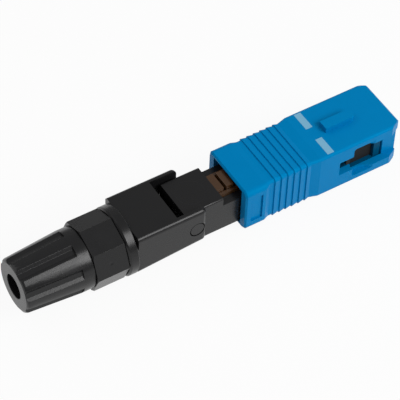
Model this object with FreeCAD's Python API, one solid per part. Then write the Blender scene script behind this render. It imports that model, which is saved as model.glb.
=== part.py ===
import FreeCAD, Part
import math
import os

from FreeCAD import Vector

# Field-installable SC fibre connector with a hinged cable end, in millimetres.
# +X runs along the optical axis towards the mating end, +Z is up (the key side), and the
# origin lies on the optical axis in the plane of the coupling sleeve's front rim.
# Every station along the connector is an x value, so it is negative behind the front rim.

# ---- shared clearances ----
sliding_gap = 0.10          # sleeve over plug frame, each side
seat_gap = 0.05             # snapped or pressed pieces, each side
hinge_gap = 0.15            # radial play of the hinge pins in the ears
thread_gap = 0.10           # radial play of the tail cap on its stub
ferrule_play = 0.10         # radial room round the floating ferrule

# ---- coupling sleeve ----
sleeve_length = 24.8
sleeve_width = 9.0
sleeve_height = 7.4
sleeve_side_wall = 1.05
sleeve_top_wall = 0.75
sleeve_edge = 0.4           # radius of the long edges
front_bevel = 0.22
front_corner_length = 1.45  # plan chamfer on the front corners, along the connector
front_corner_width = 0.83   # and across it
front_bar_length = 2.1      # bar that bridges each side at the front
front_bar_thickness = 0.55
key_length = 4.75
key_width = 1.56
key_height = 0.85
key_front_x = -5.1
key_nose = 0.6              # rounding of the key's leading corners in plan
body_length = 13.0          # full-size front section
shoulder_length = 1.4       # slope from the front section down to the grip
grip_drop = 0.28            # how far the grip's valleys lie under the front section's sides
grip_sink = 0.18            # and under its top and bottom
rib_count = 6
rib_pitch = 1.02
rib_height = 0.18
rib_draft = 0.07            # lean of each rib's steep face
first_rib_length = 0.65
grip_tail = 0.65            # plain stretch behind the last rib
flare_length = 0.8
flange_width = 9.3
flange_height = 7.2
flange_edge = 0.75
rear_mouth_flare = 0.25
rear_mouth_depth = 1.0
flange_panel_inset = 0.85   # panel's rear end from the sleeve's rear
flange_panel_length = 1.8
flange_panel_height = 4.4
flange_panel_depth = 0.25

# ---- side windows of the sleeve ----
window_rear_x = -7.45
window_height = 4.2
window_corner = 0.4
track_length = 2.36         # narrow track behind the window
track_height = 2.44
ramp_rear_x = -7.6
ramp_flat = 1.4             # rear stretch of full depth
ramp_length = 3.4
ramp_height = 5.3
ramp_depth = 0.8

# ---- plug frame ----
plug_length = 11.0
plug_side_wall = 0.80
plug_top_wall = 0.43
plug_edge = 0.35
plug_stop_gap = 0.10        # between the frame and the sleeve's front bar
plug_front_block = 1.25     # the block that an adapter's hooks catch behind
notch_length = 4.25
notch_height = 4.2
slot_length = 1.9
slot_height = 2.5

# ---- ferrule, flange and spring ----
ferrule_diameter = 2.5
ferrule_length = 10.0
ferrule_tip_x = 0.8
ferrule_tip_chamfer = 0.35
ferrule_tail_diameter = 2.0 # the stepped-down half that the flange holds
fibre_diameter = 0.125
fibre_bore_gap = 0.01
collar_diameter = 3.6
collar_length = 1.15
collar_notch = 0.5
hub_diameter = 3.0
hub_length = 4.2
hub_bore = 1.2
float_travel = 0.9
spring_wire = 0.26
spring_length = 3.7
spring_turns = 3
seat_length = 0.85

# ---- main body ----
bore_diameter = 3.9         # spring chamber and front socket
socket_depth = 2.7
ferrule_wall = 0.8
collar_stop = 1.0           # plate that closes the plug frame's rear
catch_length = 0.8
catch_height = 1.0
catch_reach = 0.45          # how far each catch stands into the sleeve's track
catch_front_x = -7.5
pad_depth = 0.5             # how far the nose's pads lie under the plug frame's sides
body_half_width = 3.2
body_floor_z = -2.85
body_top_z = 3.05
trough_top_z = 1.7
trough_width = 3.9
trough_floor_z = -1.6
block_front_x = -27.45
block_rear_x = -33.3
block_edge = 0.3
pin_x = -32.0
pin_z = 0.65                # the hinge lies this far above the optical axis
pin_diameter = 2.0
cable_bore = 3.1
funnel_length = 2.0
fibre_passage = 0.9

# ---- splice ----
base_top_z = 2.2
lid_width = 2.76
lid_top_z = 2.8
lid_slot = 0.4
lid_slot_depth = 1.3
lid_slot_pitch = 1.55
lid_end_length = 1.15       # lid ahead of and behind its outermost slots
groove_width = 0.3
clip_length = 6.4
clip_thickness = 0.25
clip_mouth = 1.3

# ---- hinged rear body ----
ear_gap = 0.30              # between block and ear, each side
ear_thickness = 0.77
ear_front = 1.42            # ear ahead of the pins
ear_round = 1.45            # lower front corner of the ears
ear_floor_z = -2.1          # underside of the box at the ears' front end
rear_floor_z = -2.82        # and at the ring
rear_top_z = 3.89
rear_edge = 0.62
plate_gap = 1.44            # open gap between the block and the upper plate behind it
floor_gap = 0.15            # gap between the block and the lower plate, which backs it
plate_thickness = 0.65
pocket_depth = 2.05         # hollow behind the upper plate's front edge
pocket_low_z = -1.75
rear_box_end_x = -40.9
ring_diameter = 9.76
ring_length = 1.55
ring_edge = 0.25
groove_gap = 0.1
groove_depth = 0.6
octagon_corners = 9.72
octagon_length = 4.65
octagon_bevel = 0.15        # trims only the corners at the rear end
stub_diameter = 5.9
stub_length = 5.8
stub_bore = 4.6
stub_bore_depth = 8.5

# ---- tail cap and collet ----
cap_gap = 0.05              # gap between octagon and cap
cap_length = 9.6
cap_base_diameter = 8.68
cap_end_diameter = 7.54
cap_band_length = 1.6
cap_end_round = 0.4
cap_mouth_diameter = 3.5
cap_mouth_bevel = 0.05
flute_count = 8
flute_width = 1.85          # at the rim
flute_depth = 0.42
flute_flats = 3             # narrow flats that make up each hollow
collet_gap = 0.10
collet_body_length = 5.5
collet_rim_diameter = 5.3
collet_rim_length = 0.5
collet_cone_length = 1.7
collet_end_diameter = 4.1
collet_slit = 0.45
collet_slit_length = 5.4
collet_bore = 3.1

# ---- places worked out from the sizes above ----
sleeve_half_y = sleeve_width / 2
sleeve_half_z = sleeve_height / 2
cavity_half_y = sleeve_half_y - sleeve_side_wall
cavity_half_z = sleeve_half_z - sleeve_top_wall
plug_half_y = cavity_half_y - sliding_gap
plug_half_z = cavity_half_z - sliding_gap
plug_front_x = -front_bar_length - plug_stop_gap
plug_rear_x = plug_front_x - plug_length
notch_front_x = plug_front_x - plug_front_block
notch_rear_x = notch_front_x - notch_length
nose_half_y = plug_half_y - plug_side_wall - seat_gap
nose_half_z = plug_half_z - plug_top_wall - seat_gap
nose_front_x = notch_front_x - seat_gap
socket_floor_x = nose_front_x - socket_depth
chamber_front_x = socket_floor_x - ferrule_wall
ferrule_radius = ferrule_diameter / 2
ferrule_rear_x = ferrule_tip_x - ferrule_length
ferrule_land_x = socket_floor_x + 2 * seat_gap
collar_front_x = chamber_front_x - seat_gap
spring_front_x = collar_front_x - collar_length
hub_rear_x = spring_front_x - hub_length
seat_front_x = spring_front_x - spring_length
seat_rear_x = seat_front_x - seat_length
stop_rear_x = plug_rear_x - collar_stop
splice_front_x = stop_rear_x - seat_gap
splice_rear_x = block_front_x + seat_gap
trough_half = trough_width / 2
base_half = trough_half - seat_gap
base_bottom_z = trough_floor_z + seat_gap
lid_half = lid_width / 2
clip_front_x = splice_front_x - lid_end_length
clip_rear_x = clip_front_x - clip_length
ear_inner = body_half_width + ear_gap
ear_outer = ear_inner + ear_thickness
pin_radius = pin_diameter / 2
plate_front_x = block_rear_x - plate_gap
pocket_rear_x = plate_front_x - pocket_depth
ring_rear_x = rear_box_end_x - ring_length
octagon_front_x = ring_rear_x - groove_gap
octagon_rear_x = octagon_front_x - octagon_length
stub_rear_x = octagon_rear_x - stub_length
cap_front_x = octagon_rear_x - cap_gap
cap_rear_x = cap_front_x - cap_length
collet_rim_x = stub_rear_x - collet_gap


# ---- small helpers ----
def block(x_rear, x_front, half_y, z_low, z_high):
    """Box centred on y = 0."""
    return Part.makeBox(x_front - x_rear, 2 * half_y, z_high - z_low,
                        Vector(x_rear, -half_y, z_low))


def slab(x_rear, x_front, y_low, y_high, z_low, z_high):
    """Box between two places along each axis."""
    return Part.makeBox(x_front - x_rear, y_high - y_low, z_high - z_low,
                        Vector(x_rear, y_low, z_low))


def rod(radius, x_rear, x_front):
    """Cylinder on the optical axis."""
    return Part.makeCylinder(radius, x_front - x_rear, Vector(x_rear, 0, 0), Vector(1, 0, 0))


def section(x, half_y, half_z, radius):
    """Rounded rectangle across the connector at station x."""
    edges = []
    last = None
    corners = ((1, 1, 0), (-1, 1, 90), (-1, -1, 180), (1, -1, 270))
    for sign_y, sign_z, start in corners:
        centre = Vector(x, sign_y * (half_y - radius), sign_z * (half_z - radius))
        points = []
        for turn in (0, 45, 90):
            angle = math.radians(start + turn)
            points.append(centre + Vector(0, radius * math.cos(angle), radius * math.sin(angle)))
        if last:
            edges.append(Part.makeLine(last, points[0]))
        edges.append(Part.Arc(points[0], points[1], points[2]).toShape())
        last = points[2]
    edges.append(Part.makeLine(last, edges[0].Vertexes[0].Point))
    return Part.Wire(edges)


def straight_loft(sections):
    """Solid with straight walls through a row of rounded rectangles."""
    return Part.makeLoft([section(*values) for values in sections], True, True)


def prism_along_y(points, y_low, y_high):
    """Outline given in x and z, drawn out along y."""
    corners = [Vector(x, y_low, z) for x, z in points]
    face = Part.Face(Part.makePolygon(corners + corners[:1]))
    return face.extrude(Vector(0, y_high - y_low, 0))


def prism_along_z(points, half_z):
    """Outline given in x and y, drawn out along z."""
    corners = [Vector(x, y, -half_z) for x, y in points]
    face = Part.Face(Part.makePolygon(corners + corners[:1]))
    return face.extrude(Vector(0, 0, 2 * half_z))


def turned(points):
    """Outline given in x and radius, turned about the optical axis."""
    corners = [Vector(x, 0, radius) for x, radius in points]
    face = Part.Face(Part.makePolygon(corners + corners[:1]))
    return face.revolve(Vector(0, 0, 0), Vector(1, 0, 0), 360)


def edges_along(shape, direction, keep=lambda centre: True):
    """Straight edges parallel to a direction whose middle passes the test."""
    found = []
    for edge in shape.Edges:
        if len(edge.Vertexes) == 2 and edge.Curve.TypeId == "Part::GeomLine":
            along = edge.Vertexes[1].Point - edge.Vertexes[0].Point
            if along.cross(direction).Length < 1e-6 * along.Length and keep(edge.CenterOfMass):
                found.append(edge)
    return found


def both_sides(shape):
    """A shape and its mirror image across the middle plane."""
    return shape.fuse(shape.mirror(Vector(0, 0, 0), Vector(0, 1, 0)))


# ---- coupling sleeve ----
def sleeve_outside():
    """Front section, sawtooth grip and rear flange as one run of sections."""
    grip_y = sleeve_half_y - grip_drop
    grip_z = sleeve_half_z - grip_sink
    rows = [
        (0, sleeve_half_y - front_bevel, sleeve_half_z - front_bevel, sleeve_edge),
        (-front_bevel, sleeve_half_y, sleeve_half_z, sleeve_edge),
        (-body_length, sleeve_half_y, sleeve_half_z, sleeve_edge),
        (-body_length - shoulder_length, grip_y, grip_z, sleeve_edge),
    ]
    first_rib_x = -body_length - shoulder_length - first_rib_length
    for index in range(rib_count):
        crest_x = first_rib_x - index * rib_pitch
        rows.append((crest_x, grip_y + rib_height, grip_z + rib_height, sleeve_edge + rib_height))
        rows.append((crest_x - rib_draft, grip_y, grip_z, sleeve_edge))
    flare_x = crest_x - rib_draft - grip_tail
    flange_x = flare_x - flare_length
    flange_y = flange_width / 2
    flange_z = flange_height / 2
    rows += [
        (flare_x, grip_y, grip_z, sleeve_edge),
        (flange_x, flange_y, flange_z, flange_edge),
        (-sleeve_length + front_bevel, flange_y, flange_z, flange_edge),
        (-sleeve_length, flange_y - front_bevel, flange_z - front_bevel, flange_edge),
    ]
    return straight_loft(rows)


def sleeve_key():
    """Raised key on top, rounded at its leading corners."""
    foot_z = sleeve_half_z - sleeve_top_wall / 2
    key = block(key_front_x - key_length, key_front_x, key_width / 2,
                foot_z, sleeve_half_z + key_height)
    corners = edges_along(key, Vector(0, 0, 1), lambda c: c.x > key_front_x - key_length / 2)
    return key.makeFillet(key_nose, corners)


def sleeve_cavity():
    """Through opening: narrow between the front bars, full width behind them."""
    front = block(-front_bar_length - 1, 1, cavity_half_y - front_bar_thickness,
                  -cavity_half_z, cavity_half_z)
    rear = block(-sleeve_length - 1, -front_bar_length, cavity_half_y,
                 -cavity_half_z, cavity_half_z)
    mouth_z = cavity_half_z + rear_mouth_flare
    flare = prism_along_y([
        (-sleeve_length + rear_mouth_depth, cavity_half_z),
        (-sleeve_length, mouth_z),
        (-sleeve_length - 1, mouth_z),
        (-sleeve_length - 1, -mouth_z),
        (-sleeve_length, -mouth_z),
        (-sleeve_length + rear_mouth_depth, -cavity_half_z)], -cavity_half_y, cavity_half_y)
    return front.fuse([rear, flare])


def sleeve_window():
    """Latch window, track, ramp pockets and open front channel of the left side."""
    inside_y = cavity_half_y - sleeve_side_wall / 2
    outside_y = sleeve_half_y + sleeve_side_wall
    window = slab(window_rear_x, -front_bar_length, inside_y, outside_y,
                  -window_height / 2, window_height / 2)
    window = window.makeFillet(window_corner, edges_along(
        window, Vector(0, 1, 0), lambda c: c.x < window_rear_x + window_corner))
    track = slab(window_rear_x - track_length, window_rear_x + window_corner,
                 inside_y, outside_y, -track_height / 2, track_height / 2)
    track = track.makeFillet(window_corner / 2, edges_along(
        track, Vector(0, 1, 0), lambda c: c.x < window_rear_x - track_length / 2))
    channel = slab(-front_bar_length - seat_gap, 1, cavity_half_y, outside_y,
                   -window_height / 2, window_height / 2)
    knee_x = ramp_rear_x + (ramp_flat + ramp_length) / 2
    pocket = prism_along_z([
        (ramp_rear_x, outside_y),
        (ramp_rear_x, sleeve_half_y - ramp_depth),
        (ramp_rear_x + ramp_flat, sleeve_half_y - ramp_depth),
        (knee_x, sleeve_half_y - 0.7 * ramp_depth),
        (ramp_rear_x + ramp_length, sleeve_half_y),
        (ramp_rear_x + ramp_length, outside_y)], ramp_height / 2)
    pocket = pocket.makeFillet(window_corner, edges_along(
        pocket, Vector(0, 1, 0), lambda c: c.x < ramp_rear_x + window_corner))
    return window.fuse([track, channel, pocket])


def front_corner():
    """Wedge that takes off the left front corner in plan."""
    return prism_along_z([
        (0, sleeve_half_y - front_corner_width),
        (-front_corner_length, sleeve_half_y),
        (1, sleeve_half_y + 1),
        (1, sleeve_half_y - front_corner_width)], sleeve_half_z + 1)


def flange_panel():
    """Shallow sunk panel in the flange's left side."""
    rear_x = -sleeve_length + flange_panel_inset
    return slab(rear_x, rear_x + flange_panel_length,
                flange_width / 2 - flange_panel_depth, flange_width / 2 + 1,
                -flange_panel_height / 2, flange_panel_height / 2)


def coupling_sleeve():
    body = sleeve_outside().fuse(sleeve_key())
    cuts = both_sides(sleeve_window())
    corners = both_sides(front_corner())
    panels = both_sides(flange_panel())
    return body.cut([sleeve_cavity(), cuts, corners, panels]).removeSplitter()


# ---- plug frame ----
def plug_frame():
    rows = [
        (plug_rear_x, plug_half_y, plug_half_z, plug_edge),
        (plug_front_x - front_bevel, plug_half_y, plug_half_z, plug_edge),
        (plug_front_x, plug_half_y - front_bevel, plug_half_z - front_bevel, plug_edge),
    ]
    cavity = block(plug_rear_x - 1, notch_front_x, nose_half_y + seat_gap,
                   -nose_half_z - seat_gap, nose_half_z + seat_gap)
    notch = slab(notch_rear_x, notch_front_x, nose_half_y, plug_half_y + 1,
                 -notch_height / 2, notch_height / 2)
    slot = slab(notch_rear_x - slot_length, notch_rear_x, nose_half_y, plug_half_y + 1,
                -slot_height / 2, slot_height / 2)
    mouth = rod(bore_diameter / 2 + seat_gap, notch_front_x - 1, plug_front_x + 1)
    return straight_loft(rows).cut([cavity, both_sides(notch.fuse(slot)), mouth])


# ---- ferrule and what drives it ----
def ferrule():
    bore = fibre_diameter / 2 + fibre_bore_gap
    return turned([
        (ferrule_rear_x, bore),
        (ferrule_rear_x, ferrule_tail_diameter / 2),
        (ferrule_land_x, ferrule_tail_diameter / 2),
        (ferrule_land_x, ferrule_radius),
        (ferrule_tip_x - ferrule_tip_chamfer, ferrule_radius),
        (ferrule_tip_x, ferrule_radius - ferrule_tip_chamfer),
        (ferrule_tip_x, bore)])


def ferrule_flange():
    """Turned holder: notched collar, long hub, ferrule pressed into its front."""
    body = turned([
        (collar_front_x, ferrule_tail_diameter / 2),
        (collar_front_x, collar_diameter / 2),
        (spring_front_x, collar_diameter / 2),
        (spring_front_x, hub_diameter / 2),
        (hub_rear_x, hub_diameter / 2),
        (hub_rear_x, hub_bore / 2),
        (ferrule_rear_x, hub_bore / 2),
        (ferrule_rear_x, ferrule_tail_diameter / 2)])
    notch_floor = (collar_diameter + hub_diameter) / 4
    notch = slab(spring_front_x, collar_front_x, -collar_notch / 2, collar_notch / 2,
                 notch_floor, collar_diameter)
    axis = Vector(1, 0, 0)
    notches = [notch.rotated(Vector(0, 0, 0), axis, 90 * turn) for turn in range(4)]
    return body.cut(notches)


def ferrule_spring():
    """Square wire coiled between collar and seat, each half turn a tilted half ring."""
    mean_radius = (hub_diameter + bore_diameter) / 4
    first_x = spring_front_x - seat_gap - spring_wire / 2
    last_x = seat_front_x + seat_gap + spring_wire / 2
    advance = (last_x - first_x) / (2 * spring_turns)
    across = Vector(0, 1, 0)
    halves = []
    for index in range(2 * spring_turns):
        side = 1 if index % 2 == 0 else -1
        start = Vector(first_x + index * advance, 0, side * mean_radius)
        centre = Vector(start.x + advance / 2, 0, 0)
        half = spring_wire / 2
        corners = [start + Vector(x, 0, z)
                   for x, z in ((-half, -half), (half, -half), (half, half), (-half, half))]
        wire = Part.Face(Part.makePolygon(corners + corners[:1]))
        halves.append(wire.revolve(centre, (start - centre).cross(across) * side, 180))
    return halves[0].fuse(halves[1:])


def spring_seat():
    inner = hub_diameter / 2 + seat_gap
    outer = bore_diameter / 2 - seat_gap / 2
    return rod(outer, seat_rear_x, seat_front_x).cut(rod(inner, seat_rear_x - 1, seat_front_x + 1))


def fibre_stub():
    """Bare fibre fixed in the ferrule and ending half way along the splice."""
    middle_x = (splice_front_x + splice_rear_x) / 2
    return rod(fibre_diameter / 2, middle_x, ferrule_tip_x)


# ---- main body ----
def carrier():
    """The trough and the taller block behind it, its upper long edges rounded."""
    body = prism_along_y([
        (stop_rear_x, body_floor_z),
        (stop_rear_x, trough_top_z),
        (block_front_x, trough_top_z),
        (block_front_x, body_top_z),
        (block_rear_x, body_top_z),
        (block_rear_x, body_floor_z)], -body_half_width, body_half_width)
    top_edges = edges_along(body, Vector(1, 0, 0), lambda c: c.z > body_top_z - block_edge)
    return body.makeFillet(block_edge, top_edges)


def nose():
    """Part that snaps into the plug frame, with its stop plate behind."""
    stop = straight_loft([
        (stop_rear_x, plug_half_y, plug_half_z, plug_edge),
        (plug_rear_x - seat_gap, plug_half_y, plug_half_z, plug_edge)])
    tongue = block(plug_rear_x - collar_stop / 2, nose_front_x, nose_half_y,
                   -nose_half_z, nose_half_z)
    return stop.fuse(tongue)


def pad():
    """Pad on the left of the nose that snaps into the plug frame's notch."""
    half_z = notch_height / 2 - seat_gap
    return slab(notch_rear_x + seat_gap, nose_front_x, nose_half_y - seat_gap,
                plug_half_y - pad_depth, -half_z, half_z)


def catch():
    """Ramped catch on the left of the nose that rides in the sleeve's track."""
    tip_y = cavity_half_y + catch_reach
    outline = [
        (catch_front_x, nose_half_y - seat_gap),
        (catch_front_x, tip_y - catch_reach / 2),
        (catch_front_x - catch_length / 3, tip_y),
        (catch_front_x - catch_length, tip_y),
        (catch_front_x - catch_length, nose_half_y - seat_gap)]
    return prism_along_z(outline, catch_height / 2)


def main_body():
    """One moulding: nose, splice trough, hinge block and its two pins."""
    pins_length = ear_outer - seat_gap
    pins = Part.makeCylinder(pin_radius, 2 * pins_length, Vector(pin_x, -pins_length, pin_z),
                             Vector(0, 1, 0))
    body = carrier().fuse([nose(), both_sides(pad()), both_sides(catch()), pins])
    bore = bore_diameter / 2
    trough = block(block_front_x, stop_rear_x, trough_half, trough_floor_z, body_top_z)
    socket = rod(bore, socket_floor_x, nose_front_x + 1)
    ferrule_hole = rod(ferrule_radius + ferrule_play, chamber_front_x - 1, socket_floor_x + 1)
    chamber = rod(bore, stop_rear_x - 1, chamber_front_x)
    funnel_x = pin_x + pin_radius
    passage = turned([
        (block_front_x + 1, 0),
        (block_front_x + 1, fibre_passage / 2),
        (funnel_x + funnel_length, fibre_passage / 2),
        (funnel_x, cable_bore / 2),
        (block_rear_x - 1, cable_bore / 2),
        (block_rear_x - 1, 0)])
    return body.cut([trough, socket, ferrule_hole, chamber, passage])


# ---- splice ----
def splice_base():
    """Open channel with the fibre groove, and a spigot that backs the spring seat."""
    body = block(splice_rear_x, splice_front_x, base_half, base_bottom_z, base_top_z)
    channel = block(splice_rear_x - 1, splice_front_x - lid_end_length / 2,
                    lid_half + seat_gap, 0, base_top_z + 1)
    clip_y = base_half - clip_thickness - seat_gap
    clip_z = base_bottom_z + clip_thickness + seat_gap
    waist = block(clip_rear_x - seat_gap, clip_front_x + seat_gap, base_half + 1,
                  base_bottom_z - 1, base_top_z + 1)
    core = block(clip_rear_x - 1, clip_front_x + 1, clip_y, clip_z, base_top_z + 2)
    spigot = rod(bore_diameter / 2 - seat_gap, splice_front_x - seat_gap, seat_rear_x - seat_gap)
    hub_room = rod(hub_diameter / 2 + seat_gap, hub_rear_x - float_travel - seat_gap, 0)
    run = rod(groove_width, splice_front_x - lid_end_length, 0)
    groove = fibre_groove()
    return body.cut(channel).cut(waist.cut(core)).fuse(spigot).cut([hub_room, run, groove])


def fibre_groove():
    """Right-angled groove on the optical axis, the full length of the channel."""
    depth = groove_width / 2
    corners = [Vector(splice_rear_x - 1, -depth, 0), Vector(splice_rear_x - 1, 0, -depth),
               Vector(splice_rear_x - 1, depth, 0)]
    face = Part.Face(Part.makePolygon(corners + corners[:1]))
    return face.extrude(Vector(splice_front_x - splice_rear_x + 1, 0, 0))


def splice_lid():
    """Clamp block over the groove, cut into fingers so that each presses by itself."""
    front_x = splice_front_x - lid_end_length / 2 - seat_gap
    rear_x = splice_rear_x
    body = block(rear_x, front_x, lid_half, fibre_diameter, lid_top_z)
    clip_z = base_top_z + clip_thickness
    step = block(clip_rear_x - seat_gap, clip_front_x + seat_gap, lid_half + 1, clip_z, lid_top_z + 1)
    slots = []
    slot_x = rear_x + lid_end_length
    while slot_x + lid_slot + lid_end_length < front_x:
        slots.append(block(slot_x, slot_x + lid_slot, lid_half + 1,
                           lid_top_z - lid_slot_depth, lid_top_z + 1))
        slot_x += lid_slot_pitch
    return body.cut([step] + slots)


def splice_clip():
    """C-shaped spring that squeezes lid and base together."""
    outer_y = base_half
    low = base_bottom_z
    lip_z = base_top_z + clip_thickness + seat_gap
    shell = block(clip_rear_x, clip_front_x, outer_y, low, lip_z + clip_thickness)
    room = block(clip_rear_x - 1, clip_front_x + 1, outer_y - clip_thickness,
                 low + clip_thickness, lip_z)
    mouth = block(clip_rear_x - 1, clip_front_x + 1, clip_mouth / 2, lip_z - 1, lip_z + 1)
    return shell.cut([room, mouth])


# ---- hinged rear body ----
def ear_cutter():
    """What is taken from the front of the box to leave two ears with a round lower corner."""
    ear_x = pin_x + ear_front
    upper = slab(plate_front_x, ear_x + 1, -ear_inner, ear_inner, pocket_low_z, rear_top_z + 1)
    lower = slab(block_rear_x - floor_gap, ear_x + 1, -ear_inner, ear_inner,
                 rear_floor_z - 1, pocket_low_z)
    slope = (ear_floor_z - rear_floor_z) / (ear_x - rear_box_end_x)
    centre_x = ear_x - ear_round
    centre_z = ear_floor_z - slope * ear_round + ear_round
    corner = slab(centre_x, ear_x + 1, -ear_outer - 1, ear_outer + 1,
                  rear_floor_z - 1, centre_z)
    barrel = Part.makeCylinder(ear_round, 4 * ear_outer,
                               Vector(centre_x, -2 * ear_outer, centre_z), Vector(0, 1, 0))
    return upper.fuse([lower, corner.cut(barrel)])


def octagon():
    """Eight-sided collar with one corner up, bevelled at its rear end."""
    radius = octagon_corners / 2
    corners = []
    for index in range(8):
        angle = math.radians(45 * index)
        corners.append(Vector(octagon_rear_x, radius * math.cos(angle), radius * math.sin(angle)))
    face = Part.Face(Part.makePolygon(corners + corners[:1]))
    prism = face.extrude(Vector(octagon_length, 0, 0))
    turned_bevel = turned([
        (octagon_rear_x, 0),
        (octagon_rear_x, radius - octagon_bevel),
        (octagon_rear_x + octagon_bevel, radius),
        (octagon_front_x, radius),
        (octagon_front_x, 0)])
    return prism.common(turned_bevel)


def rear_body():
    """One moulding: ears, hollow box, ring, octagon and threaded stub."""
    ear_x = pin_x + ear_front
    box = prism_along_y([
        (rear_box_end_x, rear_floor_z),
        (ear_x, ear_floor_z),
        (ear_x, rear_top_z),
        (rear_box_end_x, rear_top_z)], -ear_outer, ear_outer)
    rounded = [edge for edge in box.Edges if edge.CenterOfMass.x > rear_box_end_x + rear_edge]
    box = box.makeFillet(rear_edge, rounded).cut(ear_cutter())
    pocket = block(pocket_rear_x, pin_x, ear_inner, pocket_low_z, rear_top_z - plate_thickness)
    ear_holes = Part.makeCylinder(pin_radius + hinge_gap, 4 * ear_outer,
                                  Vector(pin_x, -2 * ear_outer, pin_z), Vector(0, 1, 0))
    ring = turned([
        (octagon_front_x, 0),
        (octagon_front_x, ring_diameter / 2 - groove_depth),
        (ring_rear_x, ring_diameter / 2 - groove_depth),
        (ring_rear_x, ring_diameter / 2 - ring_edge),
        (ring_rear_x + ring_edge, ring_diameter / 2),
        (rear_box_end_x - ring_edge, ring_diameter / 2),
        (rear_box_end_x, ring_diameter / 2 - ring_edge),
        (rear_box_end_x, 0)])
    stub = rod(stub_diameter / 2, stub_rear_x, octagon_rear_x)
    cable_way = rod(cable_bore / 2, stub_rear_x, pocket_rear_x + 1)
    collet_way = rod(stub_bore / 2, stub_rear_x - 1, stub_rear_x + stub_bore_depth)
    body = box.cut([pocket, ear_holes]).fuse([ring, octagon(), stub])
    return body.cut([cable_way, collet_way])


# ---- collet and tail cap ----
def cable_collet():
    """Split sleeve whose cone is squeezed by the tail cap."""
    body_radius = stub_bore / 2 - collet_gap
    rim_rear_x = collet_rim_x - collet_rim_length
    cone_rear_x = rim_rear_x - collet_cone_length
    body = turned([
        (collet_rim_x + collet_body_length, collet_bore / 2),
        (collet_rim_x + collet_body_length, body_radius),
        (collet_rim_x, body_radius),
        (collet_rim_x, collet_rim_diameter / 2),
        (rim_rear_x, collet_rim_diameter / 2),
        (cone_rear_x, collet_end_diameter / 2),
        (cone_rear_x, collet_bore / 2)])
    slit = block(cone_rear_x - 1, cone_rear_x + collet_slit_length, collet_rim_diameter,
                 -collet_slit / 2, collet_slit / 2)
    return body.cut([slit, slit.rotated(Vector(0, 0, 0), Vector(1, 0, 0), 90)])


def cap_radius_at(x):
    """Outer radius of the cap's tapered part."""
    taper_front_x = cap_front_x - cap_band_length
    share = (taper_front_x - x) / (taper_front_x - cap_rear_x)
    return cap_base_diameter / 2 + share * (cap_end_diameter - cap_base_diameter) / 2


def cap_flute():
    """Hollow flute along the top, made up of flats, its floor following the taper."""
    front_x = cap_front_x - cap_band_length
    rear_x = cap_rear_x - 1
    floor_z = cap_radius_at(front_x) - flute_depth
    half = flute_width / 2
    radius = (half ** 2 + flute_depth ** 2) / (2 * flute_depth)
    corners = [Vector(front_x, -flute_width, floor_z + 3 * flute_depth)]
    for index in range(flute_flats + 1):
        angle = math.asin(half / radius) * (2 * index / flute_flats - 1)
        corners.append(Vector(front_x, radius * math.sin(angle),
                              floor_z + radius * (1 - math.cos(angle))))
    corners.append(Vector(front_x, flute_width, floor_z + 3 * flute_depth))
    drop = cap_radius_at(rear_x) - cap_radius_at(front_x)
    face = Part.Face(Part.makePolygon(corners + corners[:1]))
    return face.extrude(Vector(rear_x - front_x, 0, drop))


def tail_cap():
    """Fluted nut, bored for the stub's thread and coned for the collet."""
    thread_radius = stub_diameter / 2 + thread_gap
    cone_front_x = collet_rim_x - collet_rim_length
    cone_rear_x = cone_front_x - collet_cone_length - collet_gap
    end_inner = cap_mouth_diameter / 2
    round_x = cap_rear_x + cap_end_round
    end_radius = cap_end_diameter / 2
    outside = turned([
        (cap_front_x, 0),
        (cap_front_x, cap_base_diameter / 2),
        (cap_front_x - cap_band_length, cap_base_diameter / 2),
        (round_x, cap_radius_at(round_x)),
        (cap_rear_x + cap_end_round * 0.3, end_radius - cap_end_round * 0.25),
        (cap_rear_x, end_radius - cap_end_round),
        (cap_rear_x, 0)])
    inside = turned([
        (cap_front_x + 1, 0),
        (cap_front_x + 1, thread_radius),
        (cone_front_x, thread_radius),
        (cone_front_x, collet_rim_diameter / 2 + collet_gap),
        (cone_rear_x, collet_end_diameter / 2 + collet_gap),
        (cone_rear_x, end_inner),
        (cap_rear_x + cap_mouth_bevel, end_inner),
        (cap_rear_x, end_inner + cap_mouth_bevel),
        (cap_rear_x - 1, end_inner + cap_mouth_bevel),
        (cap_rear_x - 1, 0)])
    step = 360 / flute_count
    flutes = [cap_flute().rotated(Vector(0, 0, 0), Vector(1, 0, 0), step * (turn + 0.5))
              for turn in range(flute_count)]
    return outside.cut(flutes).cut(inside)


pieces = {
    "coupling_sleeve": coupling_sleeve,
    "plug_frame": plug_frame,
    "ferrule": ferrule,
    "ferrule_flange": ferrule_flange,
    "ferrule_spring": ferrule_spring,
    "spring_seat": spring_seat,
    "fibre_stub": fibre_stub,
    "main_body": main_body,
    "splice_base": splice_base,
    "splice_lid": splice_lid,
    "splice_clip": splice_clip,
    "rear_body": rear_body,
    "cable_collet": cable_collet,
    "tail_cap": tail_cap,
}

os.makedirs("parts", exist_ok=True)
for name, make in pieces.items():
    solid = make()
    box = solid.BoundBox
    print(name, "valid", solid.isValid(), "solids", len(solid.Solids),
          "volume", round(solid.Volume, 2), "x", round(box.XMin, 2), round(box.XMax, 2))
    solid.exportStep("parts/" + name + ".step")
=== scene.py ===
import math

import bmesh
import bpy
from mathutils import Matrix, Vector


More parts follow.
